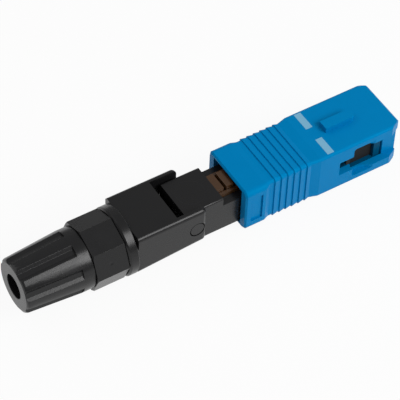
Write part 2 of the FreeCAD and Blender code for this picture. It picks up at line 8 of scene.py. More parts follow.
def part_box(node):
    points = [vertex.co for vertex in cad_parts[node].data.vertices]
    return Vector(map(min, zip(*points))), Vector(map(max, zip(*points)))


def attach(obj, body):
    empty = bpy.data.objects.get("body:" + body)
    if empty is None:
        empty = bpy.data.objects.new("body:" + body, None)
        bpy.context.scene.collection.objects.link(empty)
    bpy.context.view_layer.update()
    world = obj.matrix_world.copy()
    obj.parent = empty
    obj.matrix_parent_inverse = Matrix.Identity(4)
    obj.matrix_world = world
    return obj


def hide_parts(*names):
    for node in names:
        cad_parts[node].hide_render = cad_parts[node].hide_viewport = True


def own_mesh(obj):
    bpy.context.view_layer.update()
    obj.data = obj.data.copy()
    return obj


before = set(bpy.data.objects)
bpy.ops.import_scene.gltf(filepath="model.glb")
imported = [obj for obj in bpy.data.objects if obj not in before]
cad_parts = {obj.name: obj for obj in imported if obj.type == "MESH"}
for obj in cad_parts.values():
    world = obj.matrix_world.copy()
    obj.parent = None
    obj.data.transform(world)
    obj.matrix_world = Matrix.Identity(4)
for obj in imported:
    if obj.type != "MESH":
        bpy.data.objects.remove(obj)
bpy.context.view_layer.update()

bl_info = {
    "name": "Fibre connector finishes",
    "version": (1, 0, 0),
    "blender": (4, 5, 0),
    "location": "3D View > Sidebar > Connector",
    "description": "Finishes, print, thread and studio for a field-installable fibre connector",
    "category": "Object",
}

MM = 0.001
UP = Vector((0, 0, 1))

# modifiers on the CAD nodes
WELD_REACH = 0.001 * MM
FLAT_ANGLE = math.radians(1)       # faces that turn less than this are one flat
SHARP_ANGLE = math.radians(32)     # edges that turn more than this are rounded
BEVEL_STEPS = 2
FLAT_WEIGHT = 100                  # large flats keep their own normal
FLANGE_EDGE = 0.04 * MM
SPLICE_EDGE_SHARE = 0.8            # the splice's edges are sharper than the others

# moulded skin
DRIFT_SCALE = 420.0
SCUFF_SCALE = 2600.0
SCUFF_LIMIT = 0.63                 # the skin is scuffed where the noise is above this
MATT_STEP = 0.5                    # roughness added where a moulding is left matt
NOSE_X = -12 * MM                  # the main body is matt ahead of this

# turned metal
WAVES_PER_RING = 0.314
STREAK_SCALE = 900.0
STREAK_SPREAD, STREAK_BASE = 0.16, 0.92

# wound pieces
STEPS_PER_TURN = 24
JOIN_REACH = 0.0001 * MM
WIRE_SIDES = 8
RIDGE_SIDES = 4
RIDGE_STRETCH = 3.0                # a thread ridge is this many times as wide as it is high

# studio
SIDE_LAMP = {"direction": (0.36, -0.65, 0.64), "size": 0.28}
FAR_LAMP = {"direction": (-0.5, 0.55, 0.8), "size": 0.35}
FADE_FROM, FADE_TO = 0.05, 0.6     # heights between which the room brightens
SENSOR_WIDTH = 36
CLIP_NEAR, CLIP_FAR = 0.01, 20
RING_X = -41.2 * MM                # where the rear body's ring rests on the floor
FLOOR_GAP = 0.02 * MM
FLOOR_SCALE = 30.0
FLOOR_DARKER = 0.985


# ---- settings ----
class MouldingSettings(bpy.types.PropertyGroup):
    """Colours, surface and mould marks of the moulded pieces."""
    blue: bpy.props.FloatVectorProperty(
        name="Sleeve blue", description="Colour of the coupling sleeve",
        subtype="COLOR", size=3, min=0, max=1, default=(0.0, 0.21, 0.5))
    # Painted shade: the sleeve's blue darkened to about a third, for the plug frame that sits in
    # the sleeve's shadow.
    frame_blue_in_painted_shade: bpy.props.FloatVectorProperty(
        name="Frame blue in painted shade", description="Sleeve blue darkened as painted shade for the plug frame inside the sleeve",
        subtype="COLOR", size=3, min=0, max=1, default=(0.0, 0.065, 0.145))
    black: bpy.props.FloatVectorProperty(
        name="Body black", description="Colour of the main body and the hinged rear body",
        subtype="COLOR", size=3, min=0, max=1, default=(0.009, 0.009, 0.0096))
    cap: bpy.props.FloatVectorProperty(
        name="Nut black", description="Colour of the fluted tail cap",
        subtype="COLOR", size=3, min=0, max=1, default=(0.0075, 0.0075, 0.0082))
    collet: bpy.props.FloatVectorProperty(
        name="Collet colour", description="Colour of the cable collet inside the nut",
        subtype="COLOR", size=3, min=0, max=1, default=(0.02, 0.02, 0.022))
    amber: bpy.props.FloatVectorProperty(
        name="Splice amber", description="Colour of the splice base and lid",
        subtype="COLOR", size=3, min=0, max=1, default=(0.06, 0.026, 0.008))
    edge_radius: bpy.props.FloatProperty(
        name="Edge radius", description="Rounding of the moulded edges",
        subtype="DISTANCE", unit="LENGTH", min=0, precision=6, default=0.05 * MM)
    grain_size: bpy.props.FloatProperty(
        name="Grain size", description="Width of one grain of the mould's spark texture",
        subtype="DISTANCE", unit="LENGTH", min=0.00001, precision=6, default=0.11 * MM)
    grain_depth: bpy.props.FloatProperty(
        name="Grain depth", description="Depth of the spark texture",
        subtype="DISTANCE", unit="LENGTH", min=0, precision=6, default=0.0025 * MM)
    gate: bpy.props.FloatVectorProperty(
        name="Gate mark", description="Middle of the gate's faint mark on the octagon's near flat",
        subtype="XYZ", unit="LENGTH", size=3, precision=6,
        default=(-44.9 * MM, -4.17 * MM, 1.66 * MM))
    gate_radius: bpy.props.FloatProperty(
        name="Gate radius", description="Radius of the gate's mark",
        subtype="DISTANCE", unit="LENGTH", min=0.00001, precision=6, default=0.32 * MM)
    gate_depth: bpy.props.FloatProperty(
        name="Gate depth", description="Depth of the gate's faint mark",
        subtype="DISTANCE", unit="LENGTH", min=0, precision=6, default=0.04 * MM)
    ejector: bpy.props.FloatVectorProperty(
        name="Ejector mark", description="Middle of the ejector's ring on top of the block",
        subtype="XYZ", unit="LENGTH", size=3, precision=6,
        default=(-30.6 * MM, 0.0, 3.05 * MM))
    ejector_radius: bpy.props.FloatProperty(
        name="Ejector radius", description="Radius of the ejector's ring",
        subtype="DISTANCE", unit="LENGTH", min=0.00001, precision=6, default=2.0 * MM)
    ring_width: bpy.props.FloatProperty(
        name="Ring width", description="Half the width of the ejector's ring",
        subtype="DISTANCE", unit="LENGTH", min=0.00001, precision=6, default=0.09 * MM)
    ring_depth: bpy.props.FloatProperty(
        name="Ring depth", description="Depth of the ejector's ring",
        subtype="DISTANCE", unit="LENGTH", min=0, precision=6, default=0.016 * MM)


class MetalSettings(bpy.types.PropertyGroup):
    """Colours of the metal and ceramic pieces, and the metal's lathe marks."""
    zirconia: bpy.props.FloatVectorProperty(
        name="Zirconia", description="Colour of the ceramic ferrule",
        subtype="COLOR", size=3, min=0, max=1, default=(0.86, 0.85, 0.80))
    flange: bpy.props.FloatVectorProperty(
        name="Flange steel", description="Colour of the turned flange and the spring seat",
        subtype="COLOR", size=3, min=0, max=1, default=(0.62, 0.60, 0.57))
    spring: bpy.props.FloatVectorProperty(
        name="Spring steel", description="Colour of the spring and the splice clip",
        subtype="COLOR", size=3, min=0, max=1, default=(0.50, 0.50, 0.51))
    turning_pitch: bpy.props.FloatProperty(
        name="Turning pitch", description="Distance between the lathe's tool marks",
        subtype="DISTANCE", unit="LENGTH", min=0.00001, precision=6, default=0.06 * MM)
    turning_depth: bpy.props.FloatProperty(
        name="Turning depth", description="Depth of the lathe's tool marks",
        subtype="DISTANCE", unit="LENGTH", min=0, precision=7, default=0.0008 * MM)


class MarkSettings(bpy.types.PropertyGroup):
    """The two printed index bars on top of the sleeve."""
    colour: bpy.props.FloatVectorProperty(
        name="Ink", description="Colour of the printed index bars",
        subtype="COLOR", size=3, min=0, max=1, default=(0.195, 0.45, 0.64))
    length: bpy.props.FloatProperty(
        name="Bar width", description="Size of a bar along the connector",
        subtype="DISTANCE", unit="LENGTH", min=0, precision=6, default=1.03 * MM)
    reach: bpy.props.FloatProperty(
        name="Bar length", description="Size of a bar across the connector",
        subtype="DISTANCE", unit="LENGTH", min=0, precision=6, default=3.02 * MM)
    from_front: bpy.props.FloatProperty(
        name="From front rim",
        description="Distance from the sleeve's front rim to a bar's middle",
        subtype="DISTANCE", unit="LENGTH", min=0, precision=6, default=11.24 * MM)
    from_middle: bpy.props.FloatProperty(
        name="From middle", description="Distance from the middle plane to a bar's near end",
        subtype="DISTANCE", unit="LENGTH", min=0, precision=6, default=1.08 * MM)
    corner: bpy.props.FloatProperty(
        name="Corner radius", description="Rounding of a bar's corners",
        subtype="DISTANCE", unit="LENGTH", min=0, precision=6, default=0.05 * MM)
    thickness: bpy.props.FloatProperty(
        name="Ink thickness", description="How far the ink stands on the sleeve",
        subtype="DISTANCE", unit="LENGTH", min=0, precision=6, default=0.012 * MM)


class ThreadSettings(bpy.types.PropertyGroup):
    """The thread that the tail cap runs on."""
    pitch: bpy.props.FloatProperty(
        name="Pitch", description="Advance of the thread in one turn",
        subtype="DISTANCE", unit="LENGTH", min=0.0001, precision=6, default=1.0 * MM)
    height: bpy.props.FloatProperty(
        name="Height", description="How far the thread stands on the stub",
        subtype="DISTANCE", unit="LENGTH", min=0, precision=6, default=0.07 * MM)
    turns: bpy.props.IntProperty(
        name="Turns", description="Number of turns of the thread", min=1, default=5)
    radius: bpy.props.FloatProperty(
        name="Stub radius", description="Radius of the stub that carries the thread",
        subtype="DISTANCE", unit="LENGTH", min=0, precision=6, default=2.95 * MM)


class SpringSettings(bpy.types.PropertyGroup):
    """The coil spring that pushes the ferrule forward."""
    wire: bpy.props.FloatProperty(
        name="Wire", description="Thickness of the spring's wire",
        subtype="DISTANCE", unit="LENGTH", min=0.00001, precision=6, default=0.25 * MM)
    turns: bpy.props.IntProperty(
        name="Turns", description="Number of turns of the spring", min=1, default=5)


class StudioSettings(bpy.types.PropertyGroup):
    """Camera, lamps and floor."""
    azimuth: bpy.props.FloatProperty(
        name="Azimuth", description="Camera's angle round the connector",
        subtype="ANGLE", unit="ROTATION", default=math.radians(-33.802))
    elevation: bpy.props.FloatProperty(
        name="Elevation", description="Camera's angle above the horizon",
        subtype="ANGLE", unit="ROTATION", default=math.radians(49.187))
    roll: bpy.props.FloatProperty(
        name="Roll", description="Camera's turn about its line of sight",
        subtype="ANGLE", unit="ROTATION", default=math.radians(2.584))
    distance: bpy.props.FloatProperty(
        name="Distance", description="From the camera to what it looks at",
        subtype="DISTANCE", unit="LENGTH", min=0.01, default=290.447 * MM)
    target: bpy.props.FloatVectorProperty(
        name="Target", description="What the camera looks at",
        subtype="XYZ", unit="LENGTH", size=3, precision=6,
        default=(-28.829 * MM, 0.244 * MM, 0.173 * MM))
    lens: bpy.props.FloatProperty(
        name="Lens", description="Focal length in millimetres on a 36 mm sensor",
        min=1, default=198.6)
    lamp_distance: bpy.props.FloatProperty(
        name="Lamp distance", description="From the connector to each lamp",
        subtype="DISTANCE", unit="LENGTH", min=0.01, default=0.5)
    side_power: bpy.props.FloatProperty(
        name="Side lamp", description="Power of the soft lamp on the near side",
        subtype="POWER", unit="POWER", min=0, default=1.65)
    far_power: bpy.props.FloatProperty(
        name="Far lamp", description="Power of the soft lamp on the far side",
        subtype="POWER", unit="POWER", min=0, default=0.3)
    sky: bpy.props.FloatProperty(
        name="Room overhead", description="Brightness of the room overhead", min=0, default=0.42)
    horizon: bpy.props.FloatProperty(
        name="Room at the horizon", description="Brightness of the room near the floor",
        min=0, default=0.28)
    floor: bpy.props.FloatVectorProperty(
        name="Floor", description="Colour of the floor",
        subtype="COLOR", size=3, min=0, max=1, default=(0.78, 0.78, 0.78))
    floor_glow: bpy.props.FloatProperty(
        name="Floor backlight", description="Share of the floor's white that has its own light",
        min=0, max=1, default=0.93)
    floor_size: bpy.props.FloatProperty(
        name="Floor size", description="Length of the floor's sides",
        subtype="DISTANCE", unit="LENGTH", min=0.1, default=4.0)


# ---- node groups that several finishes use ----
def new_group(name, inputs, outputs):
    """Empty shader node group with the given sockets, and its two end nodes."""
    group = bpy.data.node_groups.new(name, "ShaderNodeTree")
    for label, kind, value in inputs:
        socket = group.interface.new_socket(label, in_out="INPUT", socket_type=kind)
        socket.default_value = value
    for label, kind in outputs:
        group.interface.new_socket(label, in_out="OUTPUT", socket_type=kind)
    start = group.nodes.new("NodeGroupInput")
    end = group.nodes.new("NodeGroupOutput")
    return group, start, end


def noise_of(group, scale, detail=2.0, roughness=0.5):
    """Noise on Object coordinates; scale is a number or a socket."""
    place = group.nodes.new("ShaderNodeTexCoord")
    noise = group.nodes.new("ShaderNodeTexNoise")
    noise.inputs["Detail"].default_value = detail
    noise.inputs["Roughness"].default_value = roughness
    group.links.new(place.outputs["Object"], noise.inputs["Vector"])
    if isinstance(scale, (int, float)):
        noise.inputs["Scale"].default_value = scale
    else:
        group.links.new(scale, noise.inputs["Scale"])
    return noise.outputs["Fac"]


def calc(group, operation, *operands):
    """Math node; each operand is a number or a socket."""
    node = group.nodes.new("ShaderNodeMath")
    node.operation = operation
    for index, value in enumerate(operands):
        if isinstance(value, (int, float)):
            node.inputs[index].default_value = value
        else:
            group.links.new(value, node.inputs[index])
    return node.outputs[0]


def mould_marks():
    """Group: the gate's faint mark and the thin ring of an ejector pin, at given places.

    The depths are in units of the bump's distance.
    """
    if "Mould marks" in bpy.data.node_groups:
        return bpy.data.node_groups["Mould marks"]
    group, start, end = new_group(
        "Mould marks",
        [("Gate", "NodeSocketVector", (0, 0, 0)),
         ("Gate radius", "NodeSocketFloat", 0.0001),
         ("Gate depth", "NodeSocketFloat", 1.0),
         ("Ejector", "NodeSocketVector", (0, 0, 0)),
         ("Ejector radius", "NodeSocketFloat", 0.001),
         ("Ring width", "NodeSocketFloat", 0.0001),
         ("Ring depth", "NodeSocketFloat", 1.0)],
        [("Height", "NodeSocketFloat")])
    place = group.nodes.new("ShaderNodeTexCoord")
    away = []
    for label in ("Gate", "Ejector"):
        reach = group.nodes.new("ShaderNodeVectorMath")
        reach.operation = "DISTANCE"
        group.links.new(place.outputs["Object"], reach.inputs[0])
        group.links.new(start.outputs[label], reach.inputs[1])
        away.append(reach.outputs["Value"])
    dimple = calc(group, "SUBTRACT", 1.0,
                  calc(group, "DIVIDE", away[0], start.outputs["Gate radius"]))
    off_ring = calc(group, "ABSOLUTE",
                    calc(group, "SUBTRACT", away[1], start.outputs["Ejector radius"]))
    ring = calc(group, "SUBTRACT", 1.0,
                calc(group, "DIVIDE", off_ring, start.outputs["Ring width"]))
    sunk = calc(group, "MULTIPLY_ADD", calc(group, "MAXIMUM", dimple, 0.0),
                start.outputs["Gate depth"],
                calc(group, "MULTIPLY", calc(group, "MAXIMUM", ring, 0.0),
                     start.outputs["Ring depth"]))
    group.links.new(calc(group, "MULTIPLY", sunk, -1.0), end.inputs["Height"])
    return group


def moulded_skin():
    """Group: spark grain, tone drift, gloss drift and faint scuffs of a moulding.

    What lies ahead of the given place along the connector is matt.
    """
    if "Moulded skin" in bpy.data.node_groups:
        return bpy.data.node_groups["Moulded skin"]
    group, start, end = new_group(
        "Moulded skin",
        [("Colour", "NodeSocketColor", (0.5, 0.5, 0.5, 1)),
         ("Grains per metre", "NodeSocketFloat", 9000.0),
         ("Tone drift", "NodeSocketFloat", 0.08),
         ("Gloss", "NodeSocketFloat", 0.42),
         ("Gloss drift", "NodeSocketFloat", 0.12),
         ("Scuffs", "NodeSocketFloat", 0.1),
         ("Matt ahead of", "NodeSocketFloat", 1.0)],
        [("Colour", "NodeSocketColor"), ("Roughness", "NodeSocketFloat"),
         ("Height", "NodeSocketFloat")])
    grain = noise_of(group, start.outputs["Grains per metre"], detail=3.0)
    drift = noise_of(group, DRIFT_SCALE, detail=4.0, roughness=0.6)
    scuff_noise = noise_of(group, SCUFF_SCALE, detail=5.0, roughness=0.75)
    scuff = calc(group, "MULTIPLY", calc(group, "GREATER_THAN", scuff_noise, SCUFF_LIMIT),
                 start.outputs["Scuffs"])
    tone = calc(group, "MULTIPLY_ADD", calc(group, "SUBTRACT", drift, 0.5),
                start.outputs["Tone drift"], 1.0)
    speck = calc(group, "MULTIPLY_ADD", calc(group, "SUBTRACT", grain, 0.5),
                 start.outputs["Tone drift"], tone)
    shade = group.nodes.new("ShaderNodeVectorMath")
    shade.operation = "SCALE"
    group.links.new(start.outputs["Colour"], shade.inputs[0])
    group.links.new(speck, shade.inputs["Scale"])
    gloss = calc(group, "MULTIPLY_ADD", calc(group, "SUBTRACT", drift, 0.5),
                 start.outputs["Gloss drift"], start.outputs["Gloss"])
    place = group.nodes.new("ShaderNodeTexCoord")
    split = group.nodes.new("ShaderNodeSeparateXYZ")
    group.links.new(place.outputs["Object"], split.inputs["Vector"])
    ahead = calc(group, "GREATER_THAN", split.outputs["X"], start.outputs["Matt ahead of"])
    matt = calc(group, "MULTIPLY_ADD", ahead, MATT_STEP, gloss)
    group.links.new(shade.outputs["Vector"], end.inputs["Colour"])
    group.links.new(calc(group, "ADD", matt, scuff), end.inputs["Roughness"])
    group.links.new(calc(group, "MULTIPLY_ADD", scuff, -1.0, grain), end.inputs["Height"])
    return group


def turned_marks():
    """Group: rings that a lathe tool leaves round the optical axis, with fine streaks."""
    if "Turned marks" in bpy.data.node_groups:
        return bpy.data.node_groups["Turned marks"]
    group, start, end = new_group(
        "Turned marks",
        [("Colour", "NodeSocketColor", (0.6, 0.6, 0.6, 1)),
         ("Rings per metre", "NodeSocketFloat", 16000.0),
         ("Gloss", "NodeSocketFloat", 0.25),
         ("Gloss drift", "NodeSocketFloat", 0.1)],
        [("Colour", "NodeSocketColor"), ("Roughness", "NodeSocketFloat"),
         ("Height", "NodeSocketFloat")])
    place = group.nodes.new("ShaderNodeTexCoord")
    wave = group.nodes.new("ShaderNodeTexWave")
    wave.wave_type = "BANDS"
    wave.bands_direction = "X"
    wave.inputs["Distortion"].default_value = 0.6
    wave.inputs["Detail"].default_value = 2.0
    group.links.new(place.outputs["Object"], wave.inputs["Vector"])
    group.links.new(calc(group, "MULTIPLY", start.outputs["Rings per metre"], WAVES_PER_RING),
                    wave.inputs["Scale"])
    drift = noise_of(group, STREAK_SCALE, detail=4.0)
    shade = group.nodes.new("ShaderNodeVectorMath")
    shade.operation = "SCALE"
    group.links.new(start.outputs["Colour"], shade.inputs[0])
    group.links.new(calc(group, "MULTIPLY_ADD", drift, STREAK_SPREAD, STREAK_BASE),
                    shade.inputs["Scale"])
    group.links.new(shade.outputs["Vector"], end.inputs["Colour"])
    group.links.new(calc(group, "MULTIPLY_ADD", drift, start.outputs["Gloss drift"],
                         start.outputs["Gloss"]), end.inputs["Roughness"])
    group.links.new(wave.outputs["Fac"], end.inputs["Height"])
    return group


# ---- finishes ----
def finish_material(name, group, colour, values, relief, shader_values):
    """Material whose shader takes colour, roughness and relief from a node group."""
    material = bpy.data.materials.new(name)
    material.use_nodes = True
    tree = material.node_tree
    shader = tree.nodes["Principled BSDF"]
    skin = tree.nodes.new("ShaderNodeGroup")
    skin.node_tree = group
    skin.inputs["Colour"].default_value = (*colour, 1)
    for label, value in values.items():
        skin.inputs[label].default_value = value
    bump = tree.nodes.new("ShaderNodeBump")
    bump.inputs["Distance"].default_value = relief
    bump.inputs["Strength"].default_value = 1.0
    tree.links.new(skin.outputs["Colour"], shader.inputs["Base Color"])
    tree.links.new(skin.outputs["Roughness"], shader.inputs["Roughness"])
    tree.links.new(skin.outputs["Height"], bump.inputs["Height"])
    tree.links.new(bump.outputs["Normal"], shader.inputs["Normal"])
    for label, value in shader_values.items():
        shader.inputs[label].default_value = value
    return material


def moulding(name, colour, gloss, specular, drift=0.08, scuffs=0.08, matt_from=1.0, **more):
    """Moulded plastic with the scene's grain."""
    sizes = bpy.context.scene.connector_moulding
    return finish_material(
        name, moulded_skin(), colour,
        {"Grains per metre": 1 / sizes.grain_size, "Gloss": gloss, "Tone drift": drift,
         "Scuffs": scuffs, "Matt ahead of": matt_from},
        sizes.grain_depth, {"Specular IOR Level": specular, **more})


def add_mould_marks(material):
    """Presses the gate and ejector marks into a moulded finish."""
    sizes = bpy.context.scene.connector_moulding
    tree = material.node_tree
    marks = tree.nodes.new("ShaderNodeGroup")
    marks.node_tree = mould_marks()
    marks.inputs["Gate"].default_value = sizes.gate
    marks.inputs["Gate radius"].default_value = sizes.gate_radius
    marks.inputs["Gate depth"].default_value = sizes.gate_depth / sizes.grain_depth
    marks.inputs["Ejector"].default_value = sizes.ejector
    marks.inputs["Ejector radius"].default_value = sizes.ejector_radius
    marks.inputs["Ring width"].default_value = sizes.ring_width
    marks.inputs["Ring depth"].default_value = sizes.ring_depth / sizes.grain_depth
    bump = next(node for node in tree.nodes if node.type == "BUMP")
    skin = bump.inputs["Height"].links[0].from_socket
    tree.links.new(calc(tree, "ADD", skin, marks.outputs["Height"]), bump.inputs["Height"])


def turned_metal(name, colour, gloss):
    """Metal with lathe marks."""
    sizes = bpy.context.scene.connector_metal
    return finish_material(
        name, turned_marks(), colour,
        {"Rings per metre": 1 / sizes.turning_pitch, "Gloss": gloss},
        sizes.turning_depth, {"Metallic": 1.0})


def dress(names, material):
    """Gives CAD nodes a finish."""
    for name in names:
        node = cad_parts[name]
        node.data.materials.clear()
        node.data.materials.append(material)


def soften(names, radius):
    """Rounds the sharp edges of CAD nodes; their own meshes stay as they are."""
    for name in names:
        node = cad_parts[name]
        weld = node.modifiers.new("Joined faces", "WELD")
        weld.merge_threshold = WELD_REACH
        flat = node.modifiers.new("Flat faces", "DECIMATE")
        flat.decimate_type = "DISSOLVE"
        flat.angle_limit = FLAT_ANGLE
        edge = node.modifiers.new("Edge radius", "BEVEL")
        edge.width = radius
        edge.segments = BEVEL_STEPS
        edge.limit_method = "ANGLE"
        edge.angle_limit = SHARP_ANGLE
        edge.miter_outer = "MITER_ARC"
        even = node.modifiers.new("Even flats", "WEIGHTED_NORMAL")
        even.mode = "FACE_AREA_WITH_ANGLE"
        even.weight = FLAT_WEIGHT
        even.keep_sharp = True


class CONNECTOR_OT_blue_mouldings(bpy.types.Operator):
    """Dress the coupling sleeve in blue plastic and the plug frame in the same blue darkened as
    painted shade
    """
    bl_idname = "connector.blue_mouldings"
    bl_label = "Blue mouldings"

    def execute(self, context):
        sizes = context.scene.connector_moulding
        tint = {"Specular Tint": (0.0, 0.9, 1.0, 1)}
        # The plug frame gets the sleeve's blue plastic with its colour darkened as painted shade.
        for node, name, colour in (("coupling_sleeve", "Blue plastic", sizes.blue),
                                   ("plug_frame", "Blue plastic in painted shade", sizes.frame_blue_in_painted_shade)):
            dress([node], moulding(name, colour, gloss=0.32, specular=0.07, **tint))
        soften(["coupling_sleeve", "plug_frame"], sizes.edge_radius)
        return {"FINISHED"}


class CONNECTOR_OT_black_mouldings(bpy.types.Operator):
    """Dress the main body and the hinged rear body in black plastic"""
    bl_idname = "connector.black_mouldings"
    bl_label = "Black mouldings"

    def execute(self, context):
        sizes = context.scene.connector_moulding
        black = moulding("Black plastic", sizes.black, gloss=0.28, specular=0.33, drift=0.1,
                         scuffs=0.03, matt_from=NOSE_X)
        add_mould_marks(black)
        dress(["main_body", "rear_body"], black)
        soften(["main_body", "rear_body"], sizes.edge_radius)
        return {"FINISHED"}


class CONNECTOR_OT_nut_and_collet(bpy.types.Operator):
    """Dress the fluted tail cap and the collet inside it"""
    bl_idname = "connector.nut_and_collet"
    bl_label = "Nut and collet"

    def execute(self, context):
        sizes = context.scene.connector_moulding
        nut = moulding("Nut plastic", sizes.cap, gloss=0.27, specular=0.38, drift=0.1,
                       scuffs=0.03)
        grip = moulding("Collet plastic", sizes.collet, gloss=0.5, specular=0.45, drift=0.15)
        dress(["tail_cap"], nut)
        dress(["cable_collet"], grip)
        soften(["tail_cap", "cable_collet"], sizes.edge_radius)
        return {"FINISHED"}


class CONNECTOR_OT_splice(bpy.types.Operator):
    """Dress the splice base, its lid and the clip"""
    bl_idname = "connector.splice"
    bl_label = "Splice"

    def execute(self, context):
        sizes = context.scene.connector_moulding
        amber = moulding("Amber plastic", sizes.amber, gloss=0.2, specular=0.5, drift=0.35,
                         scuffs=0.03)
        dress(["splice_base", "splice_lid"], amber)
        dress(["splice_clip"], turned_metal(
            "Clip steel", context.scene.connector_metal.spring, gloss=0.22))
        soften(["splice_base", "splice_lid", "splice_clip"],
               sizes.edge_radius * SPLICE_EDGE_SHARE)
        return {"FINISHED"}


class CONNECTOR_OT_ferrule_set(bpy.types.Operator):
    """Dress the ferrule, its flange, the seat and the fibre"""
    bl_idname = "connector.ferrule_set"
    bl_label = "Ferrule set"

    def execute(self, context):
        colours = context.scene.connector_metal
        ceramic = moulding("Zirconia", colours.zirconia, gloss=0.12, specular=0.9, drift=0.03,
                           scuffs=0.0, **{"IOR": 2.1})
        dress(["ferrule"], ceramic)
        dress(["ferrule_flange", "spring_seat"], turned_metal(
            "Flange steel", colours.flange, gloss=0.24))
        glass = moulding("Fibre glass", (0.95, 0.97, 1.0), gloss=0.02, specular=0.5, drift=0.01,
                         scuffs=0.0, **{"IOR": 1.46, "Transmission Weight": 1.0})
        dress(["fibre_stub"], glass)
        soften(["ferrule_flange"], FLANGE_EDGE)
        return {"FINISHED"}


# ---- new pieces ----
def new_piece(name, shape, material, body):
    """Object made from a bmesh, riding on a CAD body."""
    mesh = bpy.data.meshes.new(name)
    bmesh.ops.recalc_face_normals(shape, faces=shape.faces)
    shape.to_mesh(mesh)
    shape.free()
    piece = bpy.data.objects.new(name, mesh)
    bpy.context.collection.objects.link(piece)
    piece.data.materials.append(material)
    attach(piece, body)
    return piece


def index_bar(side):
    """Thin pad of ink on the sleeve's top, with rounded corners.

    The sleeve's top is as high above the axis as its underside is below it.
    """
    sizes = bpy.context.scene.connector_marks
    top = -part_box("coupling_sleeve")[0].z
    bar = bmesh.new()
    bmesh.ops.create_grid(bar, x_segments=1, y_segments=1, size=0.5)
    bmesh.ops.scale(bar, vec=(sizes.length, sizes.reach, 1), verts=bar.verts)
    bmesh.ops.bevel(bar, geom=bar.verts[:], offset=sizes.corner, segments=3, profile=0.5,
                    affect="VERTICES", material=-1)
    rim = bmesh.ops.extrude_face_region(bar, geom=bar.faces[:])
    raised = [item for item in rim["geom"] if isinstance(item, bmesh.types.BMVert)]
    bmesh.ops.translate(bar, vec=(0, 0, sizes.thickness), verts=raised)
    middle = side * (sizes.from_middle + sizes.reach / 2)
    bmesh.ops.translate(bar, vec=(-sizes.from_front, middle, top), verts=bar.verts)
    return bar


def wind(sides, radius, stretch, start, height, advance, turns):
    """Section swept round the optical axis, towards the cable, with closed ends."""
    shape = bmesh.new()
    bmesh.ops.create_circle(shape, segments=sides, radius=radius)
    bmesh.ops.rotate(shape, cent=(0, 0, 0), matrix=Matrix.Rotation(math.pi / 2, 3, "X"),
                     verts=shape.verts)
    bmesh.ops.scale(shape, vec=(stretch, 1, 1), verts=shape.verts)
    bmesh.ops.translate(shape, vec=(start, 0, height), verts=shape.verts)
    bmesh.ops.spin(shape, geom=shape.verts[:] + shape.edges[:], cent=(0, 0, 0),
                   axis=(1, 0, 0), dvec=(-advance / STEPS_PER_TURN, 0, 0),
                   angle=2 * math.pi * turns, steps=STEPS_PER_TURN * turns)
    bmesh.ops.remove_doubles(shape, verts=shape.verts, dist=JOIN_REACH)
    bmesh.ops.holes_fill(shape, edges=shape.edges, sides=WIRE_SIDES)
    return shape


class CONNECTOR_OT_index_marks(bpy.types.Operator):
    """Print the two index bars on top of the sleeve"""
    bl_idname = "connector.index_marks"
    bl_label = "Index marks"

    def execute(self, context):
        ink = moulding("Index ink", context.scene.connector_marks.colour, gloss=0.5,
                       specular=0.3, drift=0.12, scuffs=0.15)
        for side, name in ((1, "index_mark_left"), (-1, "index_mark_right")):
            new_piece(name, index_bar(side), ink, "sleeve")
        return {"FINISHED"}


class CONNECTOR_OT_stub_thread(bpy.types.Operator):
    """Raise the thread that the tail cap runs on"""
    bl_idname = "connector.stub_thread"
    bl_label = "Stub thread"

    def execute(self, context):
        sizes = context.scene.connector_thread
        nut_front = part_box("tail_cap")[1].x
        ridge = wind(RIDGE_SIDES, sizes.height, RIDGE_STRETCH, nut_front - sizes.pitch / 2,
                     sizes.radius, sizes.pitch, sizes.turns)
        new_piece("stub_thread", ridge, bpy.data.materials["Black plastic"], "cable_end")
        return {"FINISHED"}


class CONNECTOR_OT_float_spring(bpy.types.Operator):
    """Wind the coil spring behind the ferrule in place of the CAD spring"""
    bl_idname = "connector.float_spring"
    bl_label = "Float spring"

    def execute(self, context):
        sizes = context.scene.connector_spring
        low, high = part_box("ferrule_spring")
        length = high.x - low.x
        advance = (length - sizes.wire) / sizes.turns
        coil = wind(WIRE_SIDES, sizes.wire / 2, 1.0, high.x - sizes.wire / 2,
                    high.z - sizes.wire / 2, advance, sizes.turns)
        for face in coil.faces:
            face.smooth = True
        steel = turned_metal("Spring steel", context.scene.connector_metal.spring, gloss=0.2)
        spring = new_piece("float_spring", coil, steel, "plug_core")
        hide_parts("ferrule_spring")
        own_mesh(spring)
        return {"FINISHED"}


# ---- studio ----
def camera_axes(sizes):
    """Right, up and back directions of the camera."""
    flat = math.cos(sizes.elevation)
    back = Vector((math.sin(sizes.azimuth) * flat, -math.cos(sizes.azimuth) * flat,
                   math.sin(sizes.elevation)))
    right = (-back).cross(UP).normalized()
    up = right.cross(-back)
    cos_roll, sin_roll = math.cos(sizes.roll), math.sin(sizes.roll)
    return cos_roll * right + sin_roll * up, cos_roll * up - sin_roll * right, back


def add_camera(sizes):
    """Camera that looks at its target from the set angles and distance."""
    right, up, back = camera_axes(sizes)
    data = bpy.data.cameras.new("Camera")
    data.lens = sizes.lens
    data.sensor_width = SENSOR_WIDTH
    data.clip_start = CLIP_NEAR
    data.clip_end = CLIP_FAR
    camera = bpy.data.objects.new("Camera", data)
    turn = Matrix((right, up, back)).transposed().to_4x4()
    camera.matrix_world = Matrix.Translation(Vector(sizes.target) + back * sizes.distance) @ turn
    bpy.context.collection.objects.link(camera)
    bpy.context.scene.camera = camera


def add_lamp(name, sizes, power, direction, size):
    """Square soft lamp that shines on the connector's middle."""
    data = bpy.data.lights.new(name, "AREA")
    data.energy = power
    data.shape = "SQUARE"
    data.size = size
    lamp = bpy.data.objects.new(name, data)
    towards = Vector(direction).normalized()
    lamp.location = Vector(sizes.target) + towards * sizes.lamp_distance
    lamp.rotation_mode = "QUATERNION"
    lamp.rotation_quaternion = (-towards).to_track_quat("-Z", "Y")
    bpy.context.collection.objects.link(lamp)


